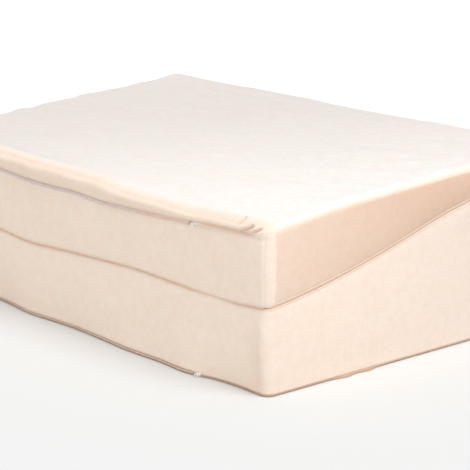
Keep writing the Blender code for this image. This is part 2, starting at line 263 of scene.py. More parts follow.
def seam_height(x, y):
    """The slope where the halves meet, y from the front: straight with a low sag, and a wave in front."""
    slope = SEAM_FRONT + (SEAM_BACK - SEAM_FRONT) * y / LENGTH
    wave = column(FRONT, "x", "crease_rise", x) * np.exp(-y / CREASE_WAVE_REACH)
    return slope + column(SIDE, "y", "seam_rise", y) + wave


def halves_gap(x, y):
    """The gap between the halves, wider around the cloth hinge."""
    hinge_end = WIDTH / 2 - HINGE_SHORT_OF_END
    beside = 1 - eased(hinge_end - 0.0030, hinge_end + 0.0006, np.abs(x))
    return HALVES_GAP + HINGE_ROOM * beside * (1 - eased(HINGE_DEPTH + HINGE_SET_BACK, 0.036, y))


def top_height(x, y):
    """The top panel: a straight slope, a half sine dome each way, and the roll's crest along the front."""
    slope = TOP_FRONT + (TOP_BACK - TOP_FRONT) * y / LENGTH
    dome = TOP_DOME * np.sin(np.pi * (x / WIDTH + 0.5)) * np.sin(np.pi * y / LENGTH)
    crest = column(FRONT, "x", "roll_up", x) * np.clip(column(CREST, "y", "share", y), 0, 1)
    return slope + column(SIDE, "y", "top_rise", y) + dome + crest


def crease_fullness(x):
    """1 where the cloth in the crease fills it, near the right end of the front."""
    return bell(x - 0.224, 0.026)


def zip_length_share(x):
    """1 along a zip, falling to 0 past its ends."""
    return np.clip((ZIP_END + ZIP_FADE - np.abs(x)) / (ZIP_FADE * 0.5), 0, 1)


def lattice(u, v, seed):
    """Smooth noise from -1 to 1: random values at whole u and v, eased between the four around a point."""
    size = 64
    values = np.random.default_rng(seed).uniform(-1, 1, (size, size))
    first_u = np.floor(u).astype(int)
    first_v = np.floor(v).astype(int)
    part_u = u - first_u
    part_v = v - first_v
    part_u = part_u**3 * (part_u * (part_u * 6 - 15) + 10)
    part_v = part_v**3 * (part_v * (part_v * 6 - 15) + 10)
    left = first_u % size
    right = (first_u + 1) % size
    near = first_v % size
    far = (first_v + 1) % size
    low = values[left, near] * (1 - part_u) + values[right, near] * part_u
    high = values[left, far] * (1 - part_u) + values[right, far] * part_u
    return low * (1 - part_v) + high * part_v


def creased(u, v, seed, sharpness=2.0):
    """Soft ridges from 0 to 1 along the zero lines of the smooth noise."""
    return (1 - np.abs(lattice(u, v, seed))) ** sharpness


def rounded(first, second, radius):
    """Distances in from two faces, moved so that the edge between them is a quarter circle.

    Both are stretched from the longer of the two to the diagonal, as a square is mapped to a circle.
    """
    a = np.maximum(radius - first, 0)
    b = np.maximum(radius - second, 0)
    diagonal = np.hypot(a, b)
    share = np.divide(np.maximum(a, b), diagonal, out=np.ones_like(diagonal), where=diagonal > 0)
    return first + a * (1 - share), second + b * (1 - share)


def box_surface(lines):
    """The six faces of a box as grids of two parameters, welded along its edges.

    lines holds the box's places along each axis. Returns its points and its faces, pointing out.
    """
    patches = []
    quads = []
    count = 0
    for axis, (first, second) in enumerate(((1, 2), (2, 0), (0, 1))):
        for end in (0, -1):
            u, v = np.meshgrid(lines[first], lines[second], indexing="ij")
            patch = np.empty((u.size, 3))
            patch[:, first] = u.ravel()
            patch[:, second] = v.ravel()
            patch[:, axis] = lines[axis][end]
            index = np.arange(u.size).reshape(u.shape) + count
            quad = np.stack([index[:-1, :-1], index[1:, :-1], index[1:, 1:], index[:-1, 1:]], axis=-1)
            quad = quad.reshape(-1, 4)
            quads.append(quad if end else quad[:, ::-1])
            patches.append(patch)
            count += u.size
    points = np.concatenate(patches)
    _, kept, place = np.unique(np.round(points, 7), axis=0, return_index=True, return_inverse=True)
    return points[kept], place.reshape(-1)[np.concatenate(quads)]


def mesh_object(name, points, quads):
    """A mesh object from an array of points and an array of four-sided faces."""
    mesh = bpy.data.meshes.new(name)
    mesh.vertices.add(len(points))
    mesh.vertices.foreach_set("co", np.asarray(points, np.float32).ravel())
    mesh.loops.add(quads.size)
    mesh.loops.foreach_set("vertex_index", quads.astype(np.int32).ravel())
    mesh.polygons.add(len(quads))
    mesh.polygons.foreach_set("loop_start", np.arange(0, quads.size, 4, dtype=np.int32))
    mesh.polygons.foreach_set("use_smooth", np.full(len(quads), True))
    mesh.update(calc_edges=True)
    mesh.validate()
    obj = bpy.data.objects.new(name, mesh)
    bpy.context.scene.collection.objects.link(obj)
    return obj


def attribute(obj, name, values):
    """Gives each point of the mesh a number, for its material."""
    made = obj.data.attributes.new(name, "FLOAT", "POINT")
    made.data.foreach_set("value", np.asarray(values, np.float32))


def edge_lines(low, high, high_strip=EDGE_STRIP):
    """Places from low to high, close together in the strip at each end."""
    first = np.arange(0, EDGE_STRIP + EDGE_STEP / 2, EDGE_STEP)
    last = np.arange(0, high_strip + EDGE_STEP / 2, EDGE_STEP)
    inner = high - low - first[-1] - last[-1]
    plain = np.linspace(low + first[-1], high - last[-1], round(inner / PLAIN_STEP) + 1)
    return np.concatenate([low + first[:-1], plain, high - last[:-1][::-1]])


def share_lines(rows, step):
    """Shares of a half's height: the rows of its face, with more between where they are far apart."""
    shares = rows["share"]
    filled = []
    for a, b in zip(shares, shares[1:]):
        filled.append(np.linspace(a, b, max(1, math.ceil((b - a) / step)), endpoint=False))
    return np.concatenate(filled + [[1.0]])


def shaped_half(points, low_of, high_of, low_radius, high_radius, zip_share_of):
    """A filled half from a box: rounded plan corners, its own floor and roof, and rounded edges.

    The third coordinate is the share of the height, bent by zip_share_of so that a line of the box
    follows the zip. Returns a dictionary with x, y from the front, z, the skin's distance from the
    nearest side, the direction inwards, and how far the plan point is from the side and the ends.
    """
    x, y, share = points.T
    share = zip_share_of(x, y, share)
    from_side = WIDTH / 2 - np.abs(x)
    from_end = np.minimum(y, LENGTH - y)
    inward_x = np.maximum(CORNER_RADIUS - from_side, 0)
    inward_y = np.maximum(CORNER_RADIUS - from_end, 0)
    reach = np.maximum(np.hypot(inward_x, inward_y), 1e-9)
    inward_x = inward_x / reach * -np.sign(x)
    inward_y = inward_y / reach * np.where(y < LENGTH / 2, 1, -1)
    skin = np.minimum(from_side, from_end)
    round_side, round_end = rounded(from_side, from_end, CORNER_RADIUS)
    x = np.sign(x) * (WIDTH / 2 - round_side)
    y = np.where(y < LENGTH / 2, round_end, LENGTH - round_end)
    low = low_of(x, y)
    high = high_of(x, y)
    z = low + (high - low) * share
    for face, sign, radius in ((low, 1, low_radius), (high, -1, high_radius)):
        depth = (z - face) * sign
        round_skin, round_depth = rounded(skin, depth, radius)
        x = x + inward_x * (round_skin - skin)
        y = y + inward_y * (round_skin - skin)
        z = z + sign * (round_depth - depth)
    return dict(
        x=x, y=y, z=z, skin=skin, inward_x=inward_x, inward_y=inward_y,
        low=low, high=high, from_side=from_side, from_end=from_end,
    )


def tuck_depth(x, over):
    """How deep the tucks are this far over the top's front edge: a bell across each tuck's bending line.

    Each crosses the edge at its x, leans to the right going up the front and bends back over the top.
    below and over are the stretch that it covers on each side of the edge.
    """
    deep = 0 * x
    for tuck in TUCKS:
        across = x - tuck["x"] - TUCK_LEAN * over + TUCK_BEND * over**2
        middle = (tuck["over"] - tuck["below"]) / 2
        half = (tuck["over"] + tuck["below"]) / 2
        along = np.clip(1 - ((over - middle) / half) ** 2, 0, 1)
        deep = deep + tuck["deep"] * bell(across, tuck["half_wide"]) * along
    return deep


def face_share(rows, name, share):
    """A column of a face's table at these shares of its height, straight between the rows."""
    return np.interp(share, rows["share"], rows[name])


def upper_face_out(x, share):
    """How far the thin half's front stands out: its bulge, the zip's groove and the loose roll above."""
    mouth = MOUTH_DEPTH * bell(x - MOUTH_AT, MOUTH_HALF_WIDTH)
    groove = -(GROOVE_DEPTH * zip_length_share(x) + mouth) * face_share(UPPER_FACE, "groove", share)
    bulge = FACE_BULGE * face_share(UPPER_FACE, "bulge", share)
    lumps = 1 + 0.22 * lattice(x / 0.034, share * 2, 11)
    roll = column(FRONT, "x", "roll_out", x) * face_share(UPPER_FACE, "roll", share)
    return bulge + groove + roll * lumps


def lower_face_out(x, share):
    """How far the thick half's front face stands out, with the soft lip over its zip."""
    zipped = zip_length_share(x)
    groove = -LOWER_GROOVE_DEPTH * zipped * face_share(LOWER_FACE, "groove", share)
    bulge = FACE_BULGE * face_share(LOWER_FACE, "bulge", share)
    roll = LOWER_ROLL_OUT * zipped * face_share(LOWER_FACE, "roll", share)
    return bulge + groove + roll + column(FRONT, "x", "foot_out", x) * (1 - share) ** 2


def upper_zip_share(x, y, share):
    """Bends the height's lines so that the one at UPPER_ZIP_SHARE follows the zip on the front face."""
    seam = seam_height(x, 0 * y)
    wanted = (column(FRONT, "x", "zip_height", x) - seam) / (top_height(x, 0 * y) - seam)
    wanted = UPPER_ZIP_SHARE + (wanted - UPPER_ZIP_SHARE) * np.exp(-y / BULGE_REACH)
    below = share / UPPER_ZIP_SHARE * wanted
    above = wanted + (share - UPPER_ZIP_SHARE) / (1 - UPPER_ZIP_SHARE) * (1 - wanted)
    return np.where(share < UPPER_ZIP_SHARE, below, above)


def pushed_out(half, share, front_out):
    """Moves the front out by front_out and the other faces by a half sine, fading inwards from the skin."""
    near = np.exp(-half["skin"] / BULGE_REACH)
    plain = FACE_BULGE * np.sin(np.pi * np.clip(share, 0, 1)) * near
    facing_front = np.where(half["y"] < LENGTH / 2, np.abs(half["inward_y"]), 0)
    inside = half["skin"] >= CORNER_RADIUS
    front_near = np.exp(-half["y"] / BULGE_REACH) * np.clip(facing_front + inside, 0, 1)
    half["x"] = half["x"] - half["inward_x"] * plain * (1 - facing_front)
    half["y"] = half["y"] - half["inward_y"] * plain * (1 - facing_front) - front_out * front_near


def ripples_out(y, z):
    """Loose cloth that lies out on the floor at the foot of the right side: a bell for each ripple."""
    low = np.clip(1 - z / RIPPLE_HEIGHT, 0, 1)
    out = 0 * y
    for ripple in RIPPLES:
        out = out + ripple["out"] * bell(y - ripple["y"], ripple["half_length"])
    return out * low


def placed(half):
    """The half's points in the frame."""
    return np.column_stack([half["x"], half["y"] - LENGTH / 2, half["z"]]) + BLOCK_AT


def front_relief(x, z):
    """Hollows and drag lines of the cloth on the front and back: smooth noise at three scales."""
    broad = 0.0008 * lattice(x / 0.085, z / 0.052, 21)
    small = 0.0003 * lattice(x / 0.026, z / 0.021, 22)
    drags = 0.0005 * creased((x + 0.7 * z) / 0.030, (z - 0.35 * x) / 0.085, 23, 4)
    return broad + small + drags


def side_relief(y, z):
    """Hollows on the two sides, with upright pleats of slack cloth just behind the front corner."""
    broad = 0.0007 * lattice(y / 0.075, z / 0.055, 31)
    small = 0.00025 * lattice(y / 0.024, z / 0.028, 32)
    pleats = 0.0004 * lattice(y / 0.0046, z / 0.110, 33) * bell(y - 0.022, 0.016)
    return broad + small + pleats


def top_relief(x, y):
    """Long shallow wrinkles across the top, with slanting ones near the right edge."""
    broad = 0.0008 * lattice(x / 0.110, y / 0.080, 41)
    across = creased(x / 0.170 + 0.3 * y / 0.170, y / 0.020, 42, 3) * eased(0.03, 0.12, y)
    slanting = creased((x + 1.1 * y) / 0.150, (y - 0.5 * x) / 0.017, 43, 3) * eased(0.05, 0.22, x)
    small = 0.0002 * lattice(x / 0.030, y / 0.014, 44)
    return broad + 0.0016 * across + 0.0014 * slanting + 2 * small


def relieved(obj, half, outside, calm):
    """Moves the cloth along its own normals by the relief of the face that each point looks to.

    The normals' squares share out the three reliefs. calm is 1 where the cloth stays as it is.
    """
    mesh = obj.data
    count = len(mesh.vertices)
    normals = np.empty(count * 3, np.float32)
    mesh.vertices.foreach_get("normal", normals)
    normals = normals.reshape(-1, 3)
    points = np.empty(count * 3, np.float32)
    mesh.vertices.foreach_get("co", points)
    points = points.reshape(-1, 3)
    x, y, z = half["x"], half["y"], half["z"]
    share_x, share_y, share_z = (normals.T) ** 2
    relief = share_y * front_relief(x, z) + share_x * side_relief(y, z) + share_z * top_relief(x, y)
    moved = points + normals * (relief * (1 - calm) + outside)[:, None]
    mesh.vertices.foreach_set("co", moved.astype(np.float32).ravel())
    mesh.update()


def seam_puckers(along, distance):
    """A seam's groove with small gathers beside it."""
    groove = -SEAM_DEPTH * bell(distance, SEAM_HALF_WIDTH)
    gathers = 0.00016 * lattice(along / 0.0050, 0 * along, 51) * bell(distance, 0.0045)
    return groove + gathers


def side_seams(half, from_edge, side_share):
    """The seams of a side panel: upright ones near the corners, and one along its sloping edge."""
    upright = seam_puckers(half["z"], half["from_end"] - SEAM_FROM_CORNER)
    sloping = seam_puckers(half["y"], from_edge)
    return side_share * np.minimum(upright, sloping)


def thick_half_piece():
    """The lower half: flat on the floor, with the slope for its roof.

    A box of width, length and share of the height, rounded along its edges, its front moved out by
    lower_face_out, its other faces by a half sine, its skin by the reliefs and the seams.
    """
    across = edge_lines(-WIDTH / 2, WIDTH / 2)
    along = edge_lines(0, LENGTH)
    points, quads = box_surface((across, along, share_lines(LOWER_FACE, THICK_ROWS)))
    share = points[:, 2]
    half = shaped_half(
        points,
        lambda x, y: 0 * x,
        lambda x, y: seam_height(x, y) - halves_gap(x, y) / 2,
        FOOT_RADIUS,
        CREASE_RADIUS,
        lambda x, y, share: share,
    )
    pushed_out(half, share, lower_face_out(half["x"], share))
    on_right = (half["inward_x"] < 0) & (half["skin"] < CORNER_RADIUS)
    half["x"] = half["x"] + on_right * ripples_out(half["y"], half["z"])
    obj = mesh_object("thick_half_cover", placed(half), quads)
    side_share = np.abs(half["inward_x"]) * (share > 0) * (share < 1)
    below_crease = half["high"] - half["z"]
    seams = side_seams(half, below_crease - SEAM_FROM_CREASE, side_share)
    seams = seams * eased(0.006, 0.012, half["z"])
    calm = 1 - eased(0.004, 0.020, half["z"]) * eased(0.002, 0.014, below_crease)
    relieved(obj, half, seams, calm)
    rippled = on_right * np.clip(ripples_out(half["y"], 0 * share) / 0.003, 0, 1)
    # Painted shade: a deeper peach in the crease, on the front beside the corner and towards its left end,
    # and on the side panels, more of it towards the back.
    crease_shade_kept = 1 - 0.8 * crease_fullness(half["x"])
    painted_crease_shade = (0.55 + 0.25 * side_share) * bell(below_crease, 0.0026) * crease_shade_kept
    backward = eased(0.05, 0.33, half["y"])
    painted_corner_shade = 0.30 * bell(half["from_side"] - 0.010, 0.013) * (half["y"] < CORNER_RADIUS)
    painted_corner_shade = painted_corner_shade * (1 - side_share) * eased(0.100, 0.020, half["z"])
    painted_left_shade = 0.07 * (half["y"] < CORNER_RADIUS) * eased(0.06, -0.10, half["x"])
    deep_peach_and_shade = (0.17 + 0.08 * backward) * side_share + painted_crease_shade + painted_corner_shade + painted_left_shade
    attribute(obj, "deep_peach_and_shade", np.clip(deep_peach_and_shade, 0, 1))
    # Painted light and painted shade on the sides as well, greyer towards the back.
    attribute(obj, "painted_light", (0.14 + 0.20 * backward) * side_share)
    attribute(obj, "shade", (0.5 + 0.3 * backward) * side_share)
    # A tan band along the foot, reaching higher on the ripples.
    attribute(obj, "tan_foot_and_shade", 1 - eased(0.0022 + 0.0006 * rippled, 0.0040 + 0.0008 * rippled, half["z"]))
    return obj


def thin_half_piece():
    """The upper half: the slope for its floor, and the top panel with the roll and the tucks.

    A box like the lower half's, its front moved out by upper_face_out less the tucks' depth, with the
    height's lines bent so that one of them follows the zip.
    """
    across = edge_lines(-WIDTH / 2, WIDTH / 2, TUCKED_STRIP)
    along = edge_lines(0, LENGTH)
    points, quads = box_surface((across, along, share_lines(UPPER_FACE, THIN_ROWS)))
    share = points[:, 2]
    half = shaped_half(
        points,
        lambda x, y: seam_height(x, y) + halves_gap(x, y) / 2,
        top_height,
        CREASE_RADIUS,
        TOP_RADIUS,
        upper_zip_share,
    )
    over = points[:, 1] - (1 - share) * (TOP_FRONT - SEAM_FRONT)
    tucked = tuck_depth(points[:, 0], over)
    pushed_out(half, share, upper_face_out(half["x"], share) - tucked)
    half["z"] = half["z"] - tucked * np.clip((share - UPPER_ZIP_SHARE) / (1 - UPPER_ZIP_SHARE), 0, 1)
    obj = mesh_object("thin_half_cover", placed(half), quads)
    side_share = np.abs(half["inward_x"]) * (share > 0)
    above_crease = half["z"] - half["low"]
    below_top = half["high"] - half["z"]
    from_top_seam = below_top - SEAM_FROM_TOP
    from_crease_seam = above_crease - SEAM_FROM_CREASE
    from_edge = np.where(below_top < above_crease, from_top_seam, from_crease_seam)
    seams = side_seams(half, from_edge, side_share)
    front_share = np.clip(1 - half["y"] / 0.012, 0, 1)
    corner_seam = bell(half["from_side"] - CORNER_SEAM_FROM_SIDE, CORNER_SEAM_HALF_WIDTH)
    seams = seams - CORNER_SEAM_DEPTH * corner_seam * front_share * (1 - side_share)
    from_zip = half["z"] - column(FRONT, "x", "zip_height", half["x"])
    at_zip = bell(from_zip, 0.006) * front_share * zip_length_share(half["x"])
    calm = np.maximum(1 - eased(0.002, 0.014, above_crease), at_zip)
    relieved(obj, half, seams, calm)
    inside_panel = eased(-0.0005, 0.0005, half["from_end"] - SEAM_FROM_CORNER)
    inside_panel = inside_panel * eased(-0.0006, 0.0006, from_top_seam)
    inside_panel = inside_panel * eased(-0.0006, 0.0006, from_crease_seam)
    # A deeper peach on the side panels inside their seams, growing towards the back as painted shade; on
    # the roll's flank and crest, more past the zip's end, in the crease and towards the left of the front
    # it is painted shade.
    painted_back_shade = np.clip(0.42 + 2.4 * half["y"], 0, 1)
    past_zip = eased(0.185, 0.225, half["x"])
    painted_flank_shade = 0.36 + 0.24 * eased(0.03, 0.10, half["x"]) + 0.38 * past_zip
    painted_flank_shade = painted_flank_shade * bell(share - 0.848 + 0.003 * past_zip, 0.021 + 0.021 * past_zip)
    painted_flank_shade = np.maximum(painted_flank_shade, 0.17 * eased(0.84, 0.88, share) * (half["y"] < 0.02))
    painted_flank_shade = painted_flank_shade * (1 - side_share) * eased(0.296, 0.275, half["x"])
    crease_shade_kept = 1 - 0.8 * crease_fullness(half["x"]) * (1 - side_share)
    painted_crease_shade = (0.55 + 0.25 * side_share) * bell(above_crease, 0.0026) * crease_shade_kept
    painted_left_shade = 0.07 * front_share * eased(0.06, -0.10, half["x"])
    attribute(obj, "deep_peach_and_shade", np.clip(side_share * inside_panel * painted_back_shade + painted_flank_shade + painted_crease_shade + painted_left_shade, 0, 1))
    # Painted light: near white over the top panel as painted sheen, running over the top right edge as a
    # painted highlight, turning grey towards the back left as painted shade; a near white strip below the
    # zip is a painted highlight.
    from_front = eased(0.002, 0.020, over + 0.004 * lattice(half["x"] / 0.040, 0 * share, 12))
    from_right = 1 - eased(0.0015, 0.0040, below_top) * (half["from_side"] < CORNER_RADIUS)
    on_top = from_front * from_right * eased(-0.004, 0.004, above_crease - below_top)
    nearness = eased(-0.40, 0.46, half["x"] - 0.9 * half["y"] + 0.04)
    lip = 0.55 * bell(from_zip + 0.0030, 0.0014) * front_share * eased(0.06, 0.0, half["x"])
    attribute(obj, "painted_light", np.maximum(on_top, lip))
    attribute(obj, "shade", on_top * (1 - nearness))
    # Painted shade: tan in the tucks and in the zip's mouth beside the slider.
    painted_mouth_shadow = bell(half["x"] - ZIP_END + 0.0035, 0.0035) * bell(from_zip, 0.0022) * front_share
    attribute(obj, "tan_foot_and_shade", np.maximum(0.48 * np.clip(tucked / 0.0040, 0, 1), 0.6 * painted_mouth_shadow))
    return obj


def hinge_piece():
    """The cloth strip that joins the halves, in the gap between them, its rolled edge in the crease."""
    across = np.linspace(-WIDTH / 2 + HINGE_SHORT_OF_END, WIDTH / 2 - HINGE_SHORT_OF_END, 141)
    turn = np.linspace(0, 2 * np.pi, 33)
    u, v = np.meshgrid(across, turn, indexing="ij")
    depth = (1 - np.cos(v)) / 2
    full = crease_fullness(u)
    tapered = eased(0, 0.0040, WIDTH / 2 - HINGE_SHORT_OF_END - np.abs(u))
    bead = tapered * (0.0006 + 0.0008 * full) * bell(depth - 0.03, 0.07)
    thick = (0.00026 + bead) * np.sign(np.sin(v)) * np.abs(np.sin(v)) ** 0.35
    front = HINGE_BEAD_BACK - 0.0009 * full
    y = front + (HINGE_DEPTH + HINGE_SET_BACK - HINGE_BEAD_BACK) * depth**1.6
    z = seam_height(u, y) + thick
    points = np.stack([u, y - LENGTH / 2, z], axis=-1)
    return tube("hinge_cloth", points + BLOCK_AT)


def tube(name, points):
    """A closed tube from rings of points, whose last point repeats the first, with a fan at each end."""
    rings, round_ = points.shape[:2]
    round_ -= 1
    points = points[:, :round_]
    middle = points.mean(axis=1)
    ends = np.stack([middle[0], middle[-1]])
    index = np.arange(rings * round_).reshape(rings, round_)
    following = np.roll(index, -1, axis=1)
    walls = np.stack([index[:-1], index[1:], following[1:], following[:-1]], axis=-1).reshape(-1, 4)
    faces = [walls]
    centre = rings * round_
    even = index[:, ::2]
    odd = index[:, 1::2]
    after = np.roll(even, -1, axis=1)
    faces.append(np.stack([0 * even[0] + centre, even[0], odd[0], after[0]], axis=-1))
    faces.append(np.stack([0 * even[-1] + centre + 1, after[-1], odd[-1], even[-1]], axis=-1))
    return mesh_object(name, np.concatenate([points.reshape(-1, 3), ends]), np.concatenate(faces))


def zip_piece(name, height_of, back_of, tall, end):
    """A closed zip up to this end: a woven tape with two rows of small rounded coil turns.

    One row is set half a pitch on from the other.

    Every turn is a ball, stretched along the zip's height, on a grid of two angles.
    """
    runs = np.linspace(-ZIP_END, end, 193)
    turn = np.linspace(0, 2 * np.pi, 17)
    u, v = np.meshgrid(runs, turn, indexing="ij")
    tape_z = height_of(u) + tall / 2 * np.sign(np.cos(v)) * np.abs(np.cos(v)) ** 0.4
    tape_y = back_of(u) - 0.0003 * (1 - np.sign(np.sin(v)) * np.abs(np.sin(v)) ** 0.4)
    tape = np.stack([u, tape_y - LENGTH / 2, tape_z], axis=-1) + BLOCK_AT
    rows = np.arange(-ZIP_END + TOOTH_PITCH, end - TOOTH_PITCH, TOOTH_PITCH)
    centres = np.concatenate([rows, rows + TOOTH_PITCH / 2])
    sides = np.concatenate([0 * rows - 1, 0 * rows + 1])
    around = np.linspace(0, 2 * np.pi, 9)[:-1]
    over = np.linspace(0.0, np.pi, 6)
    a, b = np.meshgrid(over, around, indexing="ij")
    ball = np.stack([
        TOOTH_PITCH * 0.36 * np.sin(a) * np.cos(b),
        (ZIP_THICK - 0.0003) / 2 * np.sin(a) * np.sin(b),
        tall * 0.32 * np.cos(a),
    ], axis=-1)
    place = np.stack([
        centres,
        back_of(centres) - ZIP_THICK / 2 - 0.00015 - LENGTH / 2,
        height_of(centres) + sides * tall * 0.17,
    ], axis=-1) + BLOCK_AT
    teeth = (ball[None] + place[:, None, None]).reshape(-1, 3)
    ring = np.arange(a.size).reshape(a.shape)
    after = np.roll(ring, -1, axis=1)
    quad = np.stack([ring[:-1], ring[1:], after[1:], after[:-1]], axis=-1).reshape(-1, 4)
    quads = (quad[None] + np.arange(len(centres))[:, None, None] * a.size).reshape(-1, 4)
    obj = tube(name, tape)
    backing = np.empty(len(obj.data.vertices) * 3, np.float32)
    obj.data.vertices.foreach_get("co", backing)
    faces = np.empty(len(obj.data.polygons) * 4, np.int32)
    obj.data.loops.foreach_get("vertex_index", faces)
    backing = backing.reshape(-1, 3)
    bpy.data.objects.remove(obj)
    whole = mesh_object(
        name,
        np.concatenate([backing, teeth]),
        np.concatenate([faces.reshape(-1, 4), quads + len(backing)]),
    )
    along = np.concatenate([backing, teeth])[:, 0] - BLOCK_AT[0]
    attribute(whole, "coil", 1 - eased(0.05, 0.14, along))
    return whole


def squared_ball(size, power, rows=24, columns=32):
    """A rounded block: a ball whose sines and cosines are raised to a power, on a grid of two angles."""
    over = np.linspace(0.0, np.pi, rows + 1)
    around = np.linspace(0, 2 * np.pi, columns + 1)[:-1]
    a, b = np.meshgrid(over, around, indexing="ij")
    bent = lambda value: np.sign(value) * np.abs(value) ** power
    points = np.stack([
        bent(np.sin(a)) * bent(np.cos(b)) * size[0] / 2,
        bent(np.sin(a)) * bent(np.sin(b)) * size[1] / 2,
        bent(np.cos(a)) * size[2] / 2,
    ], axis=-1)
    index = np.arange(a.size).reshape(a.shape)
    after = np.roll(index, -1, axis=1)
    quads = np.stack([index[:-1], index[1:], after[1:], after[:-1]], axis=-1).reshape(-1, 4)
    return points.reshape(-1, 3), quads


def slider_piece(name, node, shift):
    """A zip slider: a rounded body waisted in the middle, with a low bridge on its front.

    It stands in its node's box, moved by shift.
    """
    low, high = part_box(node)
    size = np.array(high - low)
    middle = np.array((high + low) / 2)
    body, body_quads = squared_ball(size * (0.90, 0.62, 0.90), 0.45)
    waist = 1 - 0.22 * bell(body[:, 0], size[0] * 0.16)
    body[:, 2] = body[:, 2] * waist
    body[:, 1] = body[:, 1] + size[1] * 0.18
    bridge, bridge_quads = squared_ball(size * (0.72, 0.50, 0.40), 0.7)
    bridge[:, 1] = bridge[:, 1] - size[1] * 0.16 * np.cos(np.pi * bridge[:, 0] / size[0] / 0.62)
    points = np.concatenate([body, bridge]) + middle + shift
    return mesh_object(name, points, np.concatenate([body_quads, bridge_quads + len(body)]))


def pull_piece(name, node, slider, tilt, shift):
    """A zip pull in front of its slider: a round wire along an oval loop that is wider at its free end.

    The loop is tipped down by tilt and moved by shift.
    """
    low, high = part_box(node)
    slider_low, slider_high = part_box(slider)
    middle = np.array((high + low) / 2) + shift
    middle[0] = (slider_high.x + slider_low.x) / 2 + shift[0] + PULL_REACH / 2 * math.cos(tilt)
    middle[2] = (slider_high.z + slider_low.z) / 2 + shift[2] - PULL_REACH / 2 * math.sin(tilt)
    along = np.linspace(0, 2 * np.pi, 49)
    turn = np.linspace(0, 2 * np.pi, 13)
    u, v = np.meshgrid(along, turn, indexing="ij")
    long, wide, wire = PULL_REACH, 0.00110, 0.00045
    flare = 1 + 0.30 * np.cos(u)
    ring_x = long * np.cos(u)
    ring_z = wide * flare * np.sin(u)
    out_x = np.cos(u)
    out_z = np.sin(u)
    x = ring_x + wire * np.cos(v) * out_x
    z = ring_z + wire * np.cos(v) * out_z
    y = wire * 0.9 * np.sin(v)
    turned_x = x * math.cos(tilt) + z * math.sin(tilt)
    turned_z = z * math.cos(tilt) - x * math.sin(tilt)
    points = np.stack([turned_x, y, turned_z], axis=-1)[:-1, :-1] + middle
    rings, round_ = points.shape[:2]
    index = np.arange(rings * round_).reshape(rings, round_)
    ahead = np.roll(index, -1, axis=0)
    quads = np.stack([index, ahead, np.roll(ahead, -1, axis=1), np.roll(index, -1, axis=1)], axis=-1)
    return mesh_object(name, points.reshape(-1, 3), quads.reshape(-1, 4)[:, ::-1])


def node_in(tree, kind, links=(), **settings):
    """A shader node with its inputs joined to other nodes' outputs or set to values."""
    made = tree.nodes.new(kind)
    for key, value in settings.items():
        setattr(made, key, value)
    for socket, value in links:
        if isinstance(value, bpy.types.NodeSocket):
            tree.links.new(value, made.inputs[socket])
        else:
            made.inputs[socket].default_value = value
    return made


def new_group(name, inputs, outputs):
    """A shader node group with named sockets. Returns its tree, its input node and its output node."""
    tree = bpy.data.node_groups.new(name, "ShaderNodeTree")
    for kind, sockets in (("INPUT", inputs), ("OUTPUT", outputs)):
        for label, socket in sockets:
            tree.interface.new_socket(label, in_out=kind, socket_type=socket)
    return tree, tree.nodes.new("NodeGroupInput"), tree.nodes.new("NodeGroupOutput")


def noise(tree, vector, scale, detail=2.0, roughness=0.5):
    links = (("Vector", vector), ("Scale", scale), ("Detail", detail), ("Roughness", roughness))
    return node_in(tree, "ShaderNodeTexNoise", links).outputs["Fac"]


def spread(tree, value, low, high, to_low, to_high):
    """A value from one range carried to another."""
    source = (("Value", value), ("From Min", low), ("From Max", high))
    target = (("To Min", to_low), ("To Max", to_high))
    return node_in(tree, "ShaderNodeMapRange", source + target).outputs["Result"]


def mixed(tree, share, first, second, blend="MIX"):
    """Two colours mixed by a share."""
    made = tree.nodes.new("ShaderNodeMix")
    made.data_type = "RGBA"
    made.blend_type = blend
    for socket, value in ((0, share), (6, first), (7, second)):
        if isinstance(value, bpy.types.NodeSocket):
            tree.links.new(value, made.inputs[socket])
        else:
            made.inputs[socket].default_value = value
    return made.outputs[2]


def sum_of(tree, first, second, operation="ADD"):
    return node_in(tree, "ShaderNodeMath", ((0, first), (1, second)), operation=operation).outputs[0]


